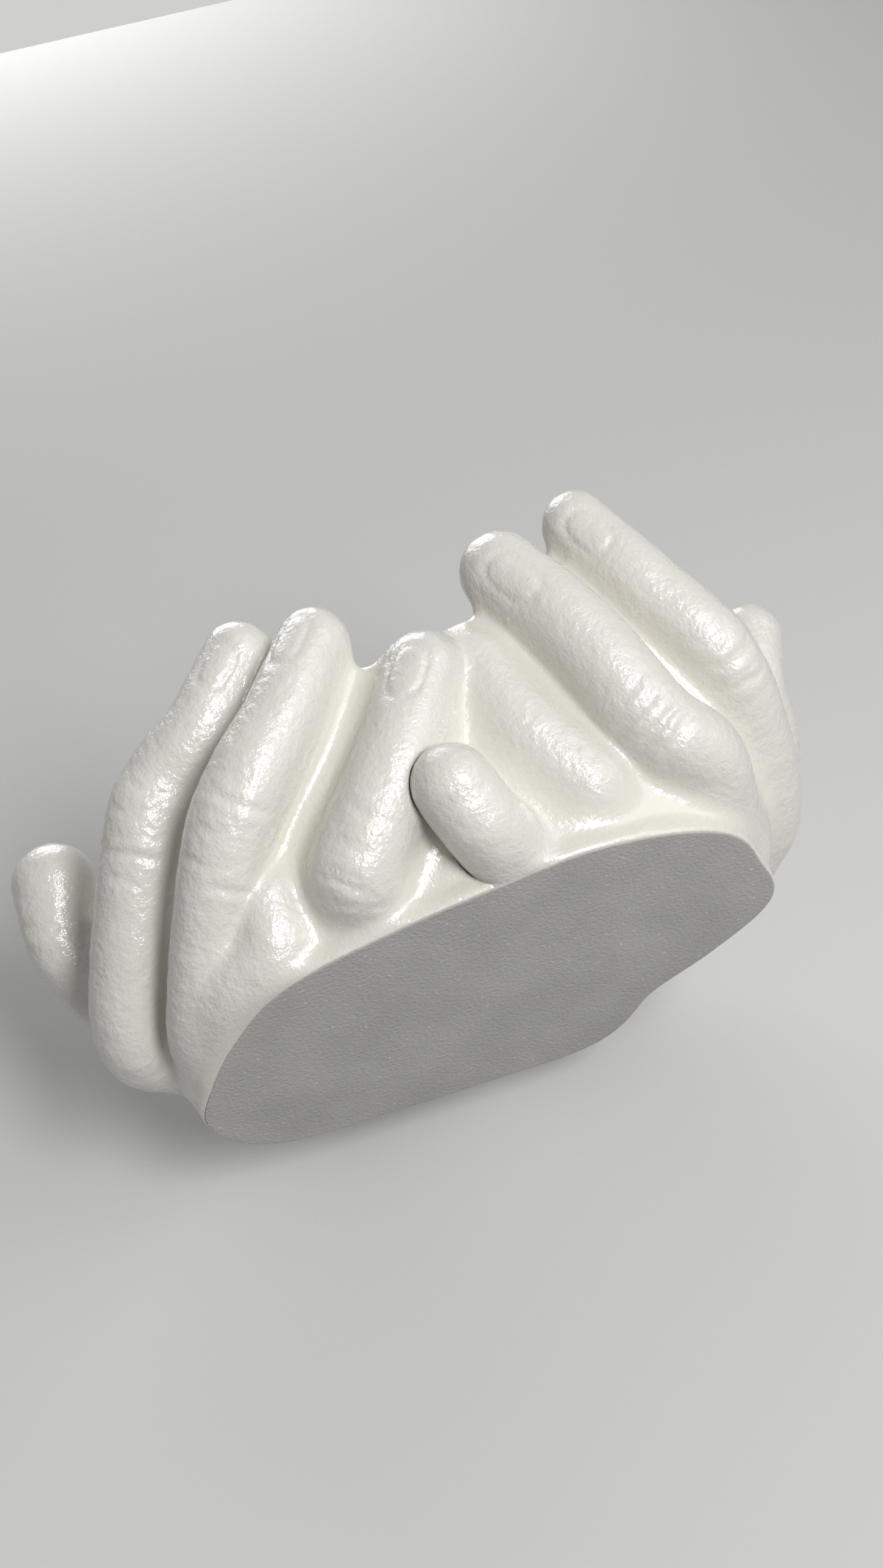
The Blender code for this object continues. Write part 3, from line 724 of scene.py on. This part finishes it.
def skin_relief(cast, points, thin):
    """Height of the relief over the smooth skin: slow lumps, the plaster's grain where the enamel is
    thin, and each finger's nail and creases."""
    sizes = cast.sizes
    height = sizes.lump * unevenness(points, LUMP_SIZE, 1)
    for seed, size in enumerate(GRAIN_SIZES, start=2):
        height += thin * sizes.grain * unevenness(points, size, seed)
    reach = 1 * MM
    off_limb = (0.9 * MM, 0.3 * MM)
    nail_smoothing = 0.8
    for name, line in (*cast.digits.items(), ("crossing", cast.crossing)):
        near = near_line(points, line, reach)
        value, run, turn, radius = limb_place(points[near], line)
        on_limb = smoothstep(*off_limb, np.abs(value))
        here = height[near]
        for crease in CREASES.get(name, ()):
            here += on_limb * crease_relief(crease, points[near], run, turn)
        if name in NAILS:
            plate, rise = nail_relief(NAILS[name], run, turn, radius)
            here = here * (1 - nail_smoothing * plate * on_limb) + on_limb * rise
        height[near] = here
    return height


def new_mesh(name, points, faces):
    """A mesh from arrays of points and of faces with the same number of corners."""
    mesh = bpy.data.meshes.new(name)
    mesh.vertices.add(len(points))
    mesh.vertices.foreach_set("co", points.astype(np.float32).ravel())
    mesh.loops.add(faces.size)
    mesh.loops.foreach_set("vertex_index", faces.astype(np.int32).ravel())
    mesh.polygons.add(len(faces))
    mesh.polygons.foreach_set("loop_start", np.arange(0, faces.size, faces.shape[1], dtype=np.int32))
    mesh.update(calc_edges=True)
    mesh.validate()
    return mesh


def new_object(name, mesh):
    """A mesh shown as an object in the scene."""
    made = bpy.data.objects.new(name, mesh)
    bpy.context.scene.collection.objects.link(made)
    return made


def mesh_points(mesh):
    """The mesh's points as an array."""
    points = np.empty(len(mesh.vertices) * 3, dtype=np.float32)
    mesh.vertices.foreach_get("co", points)
    return points.reshape(-1, 3).astype(float)


def set_attribute(mesh, name, values):
    """A value at each point of a mesh, for its material to read."""
    made = mesh.attributes.new(name, "FLOAT", "POINT")
    made.data.foreach_set("value", values.astype(np.float32))


def add_node(tree, kind, inputs=None, **settings):
    """A node with its settings. An input is given a value, or a link where it is a socket."""
    made = tree.nodes.new(kind)
    for name, value in settings.items():
        setattr(made, name, value)
    for name, value in (inputs or {}).items():
        if isinstance(value, bpy.types.NodeSocket):
            tree.links.new(value, made.inputs[name])
        else:
            made.inputs[name].default_value = value
    return made


def new_material(name):
    """A material with an empty node tree, and that tree."""
    made = bpy.data.materials.new(name)
    made.use_nodes = True
    made.node_tree.nodes.clear()
    return made, made.node_tree


def clouded(tree, place, tint, size, detail, shades):
    """A colour made darker and lighter in slow clouds of a size: noise, whose values lie mostly
    between 0.3 and 0.7, carried over to a range of shades and multiplied in."""
    cloud = add_node(tree, "ShaderNodeTexNoise", {"Vector": place, "Scale": 1 / size, "Detail": detail})
    shade = add_node(tree, "ShaderNodeMapRange", {
        "Value": cloud.outputs["Fac"], "From Min": 0.3, "From Max": 0.7, "To Min": shades[0],
        "To Max": shades[1]})
    return add_node(tree, "ShaderNodeVectorMath", {0: tint, 1: shade.outputs["Result"]},
                    operation="MULTIPLY").outputs["Vector"]


def gloss_enamel(colours):
    """White gloss enamel, brushed and dipped over cast plaster. It is thin on the ridges, where the
    plaster's grain breaks up the shine, and thick, smooth and slightly cream in the webs."""
    made, tree = new_material("gloss_enamel_over_plaster")
    place = add_node(tree, "ShaderNodeTexCoord").outputs["Object"]
    pool = add_node(tree, "ShaderNodeAttribute", attribute_name="pool").outputs["Fac"]
    thin = add_node(tree, "ShaderNodeMapRange", {"Value": pool, "To Min": 1.0, "To Max": 0.5})
    grain = add_node(tree, "ShaderNodeTexNoise", {
        "Vector": place, "Scale": 1 / (0.9 * MM), "Detail": 3.0, "Roughness": 0.6})
    height = add_node(tree, "ShaderNodeMath", {0: grain.outputs["Fac"], 1: thin.outputs["Result"]},
                      operation="MULTIPLY").outputs[0]
    bump = add_node(tree, "ShaderNodeBump", {"Height": height, "Strength": 1.0, "Distance": 0.2 * MM})
    tint = add_node(tree, "ShaderNodeMix", {0: pool, 6: (*colours.ridge, 1), 7: (*colours.pooled, 1)},
                    data_type="RGBA", blend_type="MIX").outputs[2]
    rough = add_node(tree, "ShaderNodeMapRange", {"Value": pool, "To Min": 0.34, "To Max": 0.26})
    shader = add_node(tree, "ShaderNodeBsdfPrincipled", {
        "Base Color": clouded(tree, place, tint, 9 * MM, 2.0, (0.97, 1.0)),
        "Roughness": rough.outputs["Result"], "Normal": bump.outputs["Normal"], "Metallic": 0.0,
        "IOR": 1.5, "Coat Weight": 0.9, "Coat Roughness": 0.08, "Coat IOR": 1.5,
        "Coat Normal": bump.outputs["Normal"]})
    add_node(tree, "ShaderNodeOutputMaterial", {"Surface": shader.outputs["BSDF"]})
    return made


def bare_plaster(colours):
    """Bare cast plaster, rubbed flat: matte, pitted and slightly cloudy, with pale grains, and lighter at
    its left edge, partly enamel dragged thinly over it and partly painted light from the desk. The pits
    are drawn coarse enough to show."""
    made, tree = new_material("bare_cast_plaster")
    place = add_node(tree, "ShaderNodeTexCoord").outputs["Object"]
    # Painted light in part: this mask lightens the bare cast at its left edge, for dragged enamel and for
    # light bounced from the desk
    smear_and_painted_light = add_node(tree, "ShaderNodeAttribute", attribute_name="smear_and_painted_light").outputs["Fac"]
    grain = add_node(tree, "ShaderNodeTexNoise", {"Vector": place, "Scale": 1 / (0.5 * MM), "Detail": 3.0})
    specks = add_node(tree, "ShaderNodeTexVoronoi", {"Vector": place, "Scale": 1 / (1.9 * MM)})
    speck = add_node(tree, "ShaderNodeMapRange", {
        "Value": specks.outputs["Distance"], "From Min": 0.06, "From Max": 0.12, "To Min": 0.9,
        "To Max": 0.0}).outputs["Result"]
    base = add_node(tree, "ShaderNodeMix", {0: smear_and_painted_light, 6: (*colours.cast, 1), 7: (*colours.smear_and_painted_light, 1)},
                    data_type="RGBA", blend_type="MIX").outputs[2]
    dotted = add_node(tree, "ShaderNodeMix", {0: speck, 6: base, 7: (*colours.speck, 1)},
                      data_type="RGBA", blend_type="MIX").outputs[2]
    bump = add_node(tree, "ShaderNodeBump", {
        "Height": grain.outputs["Fac"], "Strength": 1.0, "Distance": 0.14 * MM})
    shader = add_node(tree, "ShaderNodeBsdfPrincipled", {
        "Base Color": clouded(tree, place, dotted, 12 * MM, 4.0, (0.9, 1.06)), "Roughness": 0.8,
        "Normal": bump.outputs["Normal"], "Metallic": 0.0, "IOR": 1.45})
    add_node(tree, "ShaderNodeOutputMaterial", {"Surface": shader.outputs["BSDF"]})
    return made


def foot_outline(sizes, grow):
    """Outline of the foot as columns x and y, grown by a length."""
    around = np.arange(OUTLINE_STEPS) / OUTLINE_STEPS * 2 * pi
    centre_x, centre_y, half_x, half_y = bowl_section(sizes, around, np.zeros(OUTLINE_STEPS))
    return np.stack([centre_x + (half_x + grow) * np.sin(around),
                     centre_y - (half_y + grow) * np.cos(around)], axis=1)


def ring(outline, height):
    """An outline at a height."""
    return np.column_stack([outline, np.full(OUTLINE_STEPS, height)])


def stacked_rings(rings):
    """Points and triangles of a closed solid: rings joined one to the next, and the first and the
    last closed to a point over the foot's centre."""
    points = np.vstack([*rings, (*FOOT_CENTRE, rings[0][0, 2]), (*FOOT_CENTRE, rings[-1][0, 2])])
    here = np.arange(OUTLINE_STEPS)
    after = (here + 1) % OUTLINE_STEPS
    starts = np.arange(len(rings) - 1)[:, None] * OUTLINE_STEPS
    first = (starts + here).ravel()
    second = (starts + after).ravel()
    last = (len(rings) - 1) * OUTLINE_STEPS
    faces = [(first, second, second + OUTLINE_STEPS),
             (first, second + OUTLINE_STEPS, first + OUTLINE_STEPS),
             (after, here, np.full(OUTLINE_STEPS, len(points) - 2)),
             (here + last, after + last, np.full(OUTLINE_STEPS, len(points) - 1))]
    return points, np.vstack([np.column_stack(corners) for corners in faces])


def foot_pocket(sizes):
    """Cutter for the room that the underside sits in: its outline carried straight up."""
    below_ground = -3 * MM
    outline = foot_outline(sizes, FOOT_CLEARANCE)
    rings = [ring(outline, height) for height in (below_ground, sizes.foot_thickness)]
    return new_object("foot_pocket", new_mesh("foot_pocket", *stacked_rings(rings)))


def underside_rings(sizes):
    """Rings of the underside from the middle of its flat face out, round its lower edge on a
    quarter circle, up its side and in again over its hidden top."""
    round_off = 0.15 * MM
    flat_shares = np.linspace(0.02, 1, 60)
    edge_turns = np.linspace(0.3, pi / 2, 5)
    top_shares = (0.7, 0.4, 0.1)
    top = sizes.foot_thickness - FOOT_CLEARANCE
    outline = foot_outline(sizes, 0.0)
    out = np.linalg.norm(outline - FOOT_CENTRE, axis=1)[:, None]
    away = (outline - FOOT_CENTRE) / out
    flat = [ring(FOOT_CENTRE + away * (out - round_off) * share, 0.0) for share in flat_shares]
    edge = [ring(FOOT_CENTRE + away * (out - round_off * (1 - sin(turn))), round_off * (1 - cos(turn)))
            for turn in edge_turns]
    side = [ring(outline, height) for height in (top / 2, top)]
    over = [ring(FOOT_CENTRE + away * out * share, top) for share in top_shares]
    return [*flat, *edge, *side, *over]


def smear_and_painted_light_share(sizes, points):
    """How much the underside is lightened towards its left edge, partly dragged enamel and partly painted
    light from the desk: most at the edge.
    """
    across = points[:, 0] - FOOT_CENTRE[0]
    back = points[:, 1] - FOOT_CENTRE[1]
    around = np.arctan2(across, -back)
    share = np.hypot(across / sizes.foot_length * 2, back / sizes.foot_depth * 2) / foot_fullness(around)
    left = smoothstep(*PAINTED_LIGHT_SMEAR_REACH, np.cos(around - PAINTED_LIGHT_SMEAR_MIDDLE))
    return PAINTED_LIGHT_SMEAR_COVER * left * smoothstep(*PAINTED_LIGHT_SMEAR_SHARES, share)


def cut_away(item, cutter):
    """Take a cutter's room out of a piece for good, and remove the cutter."""
    step = item.modifiers.new("pocket", "BOOLEAN")
    step.operation = "DIFFERENCE"
    step.solver = "EXACT"
    step.object = cutter
    bpy.context.view_layer.update()
    mesh = bpy.data.meshes.new_from_object(item.evaluated_get(bpy.context.evaluated_depsgraph_get()))
    item.modifiers.clear()
    old = item.data
    item.data = mesh
    bpy.data.meshes.remove(old)
    bpy.data.objects.remove(cutter, do_unlink=True)


def hand_surface(cast, side, low, high):
    """Points and triangles of one hand: the level surface of its field, spread evenly, with its
    points near the seam's edge moved on to that edge."""
    step = cast.sizes.skin_grid
    finger_room = 1 * MM
    ground_room = 1.5 * MM

    def field(points):
        return in_blocks(lambda block: cast.hand(side, block), points)

    def own_side(points):
        return cast.own_side(side, points)

    points, quads = level_surface(field, low, high, step)
    points = even_out(field, points, quads, step)
    edge = near_edge(in_blocks(cast.body, points)[0], own_side(points)[0], quads, step)
    edge &= (limb_distance(points, cast.crossing)[0] > finger_room) & (points[:, 2] > ground_room)
    points[edge] = on_edge(cast.body, own_side, points[edge])
    return points, split_quads(quads, edge)


def add_relief(mesh, cast, side):
    """Move a hand's skin in and out by its relief, and note where the enamel pools: where the
    blended skin stands over the bare limbs."""
    least_slope = 0.1
    points = mesh_points(mesh)
    outer, slope = in_blocks(cast.body, points)
    if side > 0:
        finger = limb_distance(points, cast.crossing)
        outer, slope = join((outer, slope), finger[:2], cast.sizes.finger_crease)
    limbs = [*cast.digits.values(), cast.crossing, *cast.lobes]
    pool = smoothstep(*POOL_RISE, limbs_field(points, limbs, NO_BLEND, cast.reach)[0] - outer)
    skin = smoothstep(*RELIEF_BAND, np.abs(outer)) * smoothstep(*RELIEF_HEIGHTS, points[:, 2])
    rise = skin * skin_relief(cast, points, 1 - POOL_SMOOTHING * pool)
    slope /= np.maximum(np.linalg.norm(slope, axis=1), least_slope)[:, None]
    mesh.vertices.foreach_set("co", (points + slope * rise[:, None]).astype(np.float32).ravel())
    set_attribute(mesh, "pool", pool)


def make_hand(context, name, node, side):
    """One hand, side -1 left or +1 right, with its relief, over the room for the underside."""
    sizes = context.scene.cupped_hands_sizes
    cast = Cast(sizes)
    margin = 1.5 * MM
    seam_margin = 3 * MM
    low = CAD_LOW - margin
    high = CAD_HIGH + margin
    if side < 0:
        high[0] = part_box(node)[1][0] + seam_margin
    else:
        low[0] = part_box(node)[0][0] - seam_margin
    item = new_object(name, new_mesh(name, *hand_surface(cast, side, low, high)))
    cut_away(item, foot_pocket(sizes))
    add_relief(item.data, cast, side)
    item.data.shade_smooth()
    item.data.set_sharp_from_angle(angle=SHARP_FROM)
    item.data.materials.clear()
    item.data.materials.append(gloss_enamel(context.scene.cupped_hands_colours))
    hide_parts(node)
    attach(item, "root")


class OBJECT_OT_cupped_left_hand(bpy.types.Operator):
    """Build the left hand of the dish"""

    bl_idname = "object.cupped_left_hand"
    bl_label = "Left hand"

    def execute(self, context):
        make_hand(context, "left_hand_skin", "left_hand", -1)
        return {"FINISHED"}


class OBJECT_OT_cupped_right_hand(bpy.types.Operator):
    """Build the right hand of the dish, with the finger that crosses over the left hand"""

    bl_idname = "object.cupped_right_hand"
    bl_label = "Right hand"

    def execute(self, context):
        make_hand(context, "right_hand_skin", "right_hand", 1)
        return {"FINISHED"}


class OBJECT_OT_cupped_underside(bpy.types.Operator):
    """Build the flat bare underside of the dish"""

    bl_idname = "object.cupped_underside"
    bl_label = "Underside"

    def execute(self, context):
        sizes = context.scene.cupped_hands_sizes
        points, faces = stacked_rings(underside_rings(sizes))
        mesh = new_mesh("underside", points, faces)
        item = new_object("underside", mesh)
        # Painted light in part: the lighter band at the underside's left edge, for dragged enamel and for
        # light bounced from the desk
        set_attribute(mesh, "smear_and_painted_light", smear_and_painted_light_share(sizes, points))
        mesh.shade_smooth()
        mesh.set_sharp_from_angle(angle=SHARP_FROM)
        mesh.materials.append(bare_plaster(context.scene.cupped_hands_colours))
        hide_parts("base_fill")
        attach(item, "root")
        return {"FINISHED"}


def any_ray(tree, kinds):
    """1 for rays of some kinds and 0 for the others: the largest of their flags."""
    path = add_node(tree, "ShaderNodeLightPath").outputs
    seen = path[kinds[0]]
    for kind in kinds[1:]:
        seen = add_node(tree, "ShaderNodeMath", {0: seen, 1: path[kind]}, operation="MAXIMUM").outputs[0]
    return seen


def one_sided_sheet(name, tint, in_reflections):
    """Plain matte sheet that shows from its front only, and in reflections if asked. All other light
    goes through it, so that the underside, which the photograph shows, is lit."""
    made, tree = new_material(name)
    behind = add_node(tree, "ShaderNodeNewGeometry").outputs["Backfacing"]
    seen = any_ray(tree, ("Is Camera Ray", "Is Glossy Ray") if in_reflections else ("Is Camera Ray",))
    unseen = add_node(tree, "ShaderNodeMath", {0: 1.0, 1: seen}, operation="SUBTRACT").outputs[0]
    clear = add_node(tree, "ShaderNodeMath", {0: behind, 1: unseen}, operation="MAXIMUM").outputs[0]
    matte = add_node(tree, "ShaderNodeBsdfDiffuse", {"Color": (*tint, 1)}).outputs[0]
    glass = add_node(tree, "ShaderNodeBsdfTransparent").outputs[0]
    mix = add_node(tree, "ShaderNodeMixShader", {0: clear, 1: matte, 2: glass}).outputs[0]
    add_node(tree, "ShaderNodeOutputMaterial", {"Surface": mix})
    return made


def flat_sheet(name, middle, normal, half):
    """A square sheet round a point, facing a direction."""
    leaning = (0.0, 0.3, 1.0)
    centre = np.array(middle) * MM
    normal = np.array(normal) / np.linalg.norm(normal)
    side = np.cross(normal, leaning)
    side /= np.linalg.norm(side)
    other = np.cross(normal, side)
    corners = [centre + half * (a * side + b * other) for a, b in ((-1, -1), (1, -1), (1, 1), (-1, 1))]
    return new_object(name, new_mesh(name, np.array(corners), np.array([[0, 1, 2, 3]])))


def soft_lamp(name, direction, distance, size, power):
    """An oval area lamp, tall in the photograph's view, at a distance in a direction, facing the dish."""
    aim = Vector((0.0, -5 * MM, 20 * MM))
    light = bpy.data.lights.new(name, "AREA")
    light.shape = "ELLIPSE"
    light.size, light.size_y = size
    light.energy = power
    made = bpy.data.objects.new(name, light)
    away = Vector(direction).normalized()
    made.location = aim + away * distance
    made.rotation_euler = away.to_track_quat("Z", "Y").to_euler()
    bpy.context.scene.collection.objects.link(made)


class OBJECT_OT_cupped_stage(bpy.types.Operator):
    """Build the floor, the lamps and the camera"""

    bl_idname = "object.cupped_stage"
    bl_label = "Stage"

    def execute(self, context):
        tint = tuple(context.scene.cupped_hands_colours.floor)
        floor = flat_sheet("floor", *FLOOR_SHEET)
        desk = flat_sheet("desk", *DESK_SHEET)
        floor.data.materials.append(one_sided_sheet("pale_matte_floor", tint, False))
        desk.data.materials.append(one_sided_sheet("pale_matte_desk", tint, True))
        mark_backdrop(floor, desk)
        for lamp in LAMPS:
            soft_lamp(*lamp)
        world = bpy.data.worlds.new("pale_studio")
        context.scene.world = world
        world.use_nodes = True
        tree = world.node_tree
        tree.nodes.clear()
        seen = any_ray(tree, ("Is Camera Ray", "Is Glossy Ray", "Is Transmission Ray"))
        even = add_node(tree, "ShaderNodeBackground", {"Color": (1, 1, 1, 1), "Strength": EVEN_LIGHT})
        shown = add_node(tree, "ShaderNodeBackground", {"Color": (*tint, 1), "Strength": 1.0})
        mix = add_node(tree, "ShaderNodeMixShader", {0: seen, 1: even.outputs[0], 2: shown.outputs[0]})
        add_node(tree, "ShaderNodeOutputWorld", {"Surface": mix.outputs[0]})
        lens = bpy.data.cameras.new("photo_camera")
        lens.sensor_fit = "AUTO"
        lens.sensor_width = SENSOR_MM
        lens.lens = CAMERA_FOCUS_PX / PHOTO_HEIGHT_PX * SENSOR_MM
        lens.clip_start = 1 * MM
        camera = bpy.data.objects.new("photo_camera", lens)
        turn = Matrix(CAMERA_AXES).transposed().to_4x4()
        camera.matrix_world = Matrix.Translation(Vector(CAMERA_PLACE) * MM) @ turn
        context.scene.collection.objects.link(camera)
        context.scene.camera = camera
        context.scene.view_settings.view_transform = "Standard"
        return {"FINISHED"}


class VIEW3D_PT_cupped_hands(bpy.types.Panel):
    """Sizes, colours and the building steps of the dish"""

    bl_label = "Cupped hands"
    bl_idname = "VIEW3D_PT_cupped_hands"
    bl_space_type = "VIEW_3D"
    bl_region_type = "UI"
    bl_category = "Cupped hands"

    def draw(self, context):
        for step in STEPS:
            self.layout.operator(step.bl_idname)
        for group in (context.scene.cupped_hands_sizes, context.scene.cupped_hands_colours):
            box = self.layout.box()
            for name in group.bl_rna.properties.keys():
                if name not in ("rna_type", "name"):
                    box.prop(group, name)


STEPS = (OBJECT_OT_cupped_left_hand, OBJECT_OT_cupped_right_hand, OBJECT_OT_cupped_underside,
         OBJECT_OT_cupped_stage)
CLASSES = (CuppedHandsSizes, CuppedHandsColours, *STEPS, VIEW3D_PT_cupped_hands)


def register():
    for made in CLASSES:
        bpy.utils.register_class(made)
    bpy.types.Scene.cupped_hands_sizes = bpy.props.PointerProperty(type=CuppedHandsSizes)
    bpy.types.Scene.cupped_hands_colours = bpy.props.PointerProperty(type=CuppedHandsColours)


def unregister():
    del bpy.types.Scene.cupped_hands_colours
    del bpy.types.Scene.cupped_hands_sizes
    for made in reversed(CLASSES):
        bpy.utils.unregister_class(made)


def main():
    """Build every piece in order."""
    register()
    for step in ("left_hand", "right_hand", "underside", "stage"):
        getattr(bpy.ops.object, f"cupped_{step}")()


if __name__ == "__main__":
    main()
